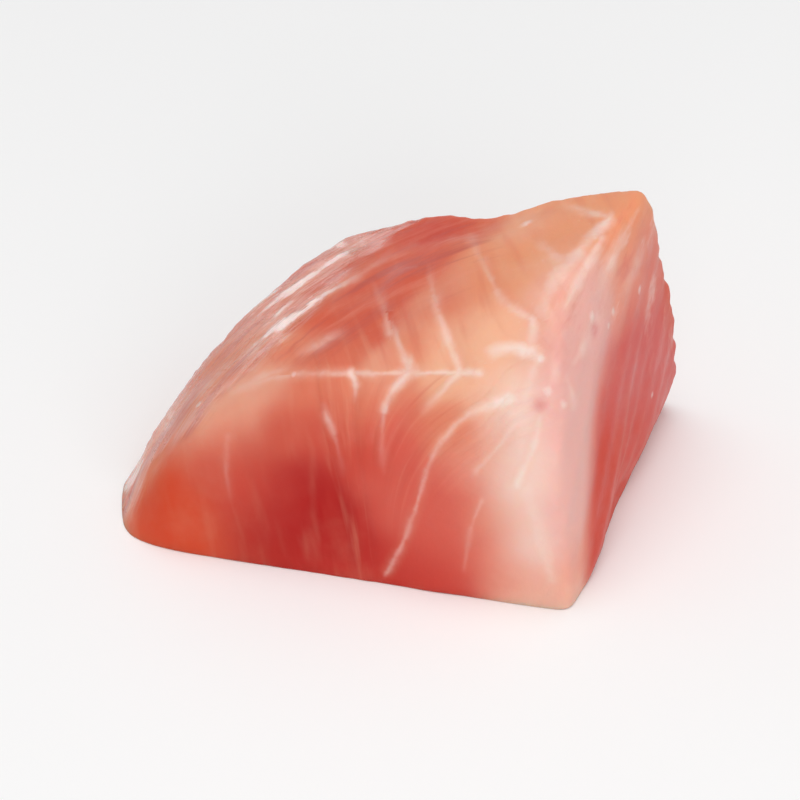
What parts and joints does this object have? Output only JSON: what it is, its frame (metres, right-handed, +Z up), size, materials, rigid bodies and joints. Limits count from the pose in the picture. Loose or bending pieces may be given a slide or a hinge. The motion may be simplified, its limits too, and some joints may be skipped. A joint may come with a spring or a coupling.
{
  "type": "nile perch fillet chunk",
  "caption": "Raw, skinned nile perch fillet chunk: a thick wedge with a flat underside, chevron muscle flakes, pale cut sides and a thin rounded tip with a silvery membrane edge.",
  "frame": {"origin": "centre of the bounding box in plan, at the height of the flat underside", "axes": "+X towards the pale narrow cut face, with the thin tip at -X; -Y towards the wide front cut face; +Z up from the flat underside"},
  "size_m": [0.0572, 0.0438, 0.0317],
  "materials": {
    "flesh": "wet, softly glossy raw fish flesh"
  },
  "bodies": {
    "root": {"fillet_chunk": "flesh"}
  },
  "joints": []
}
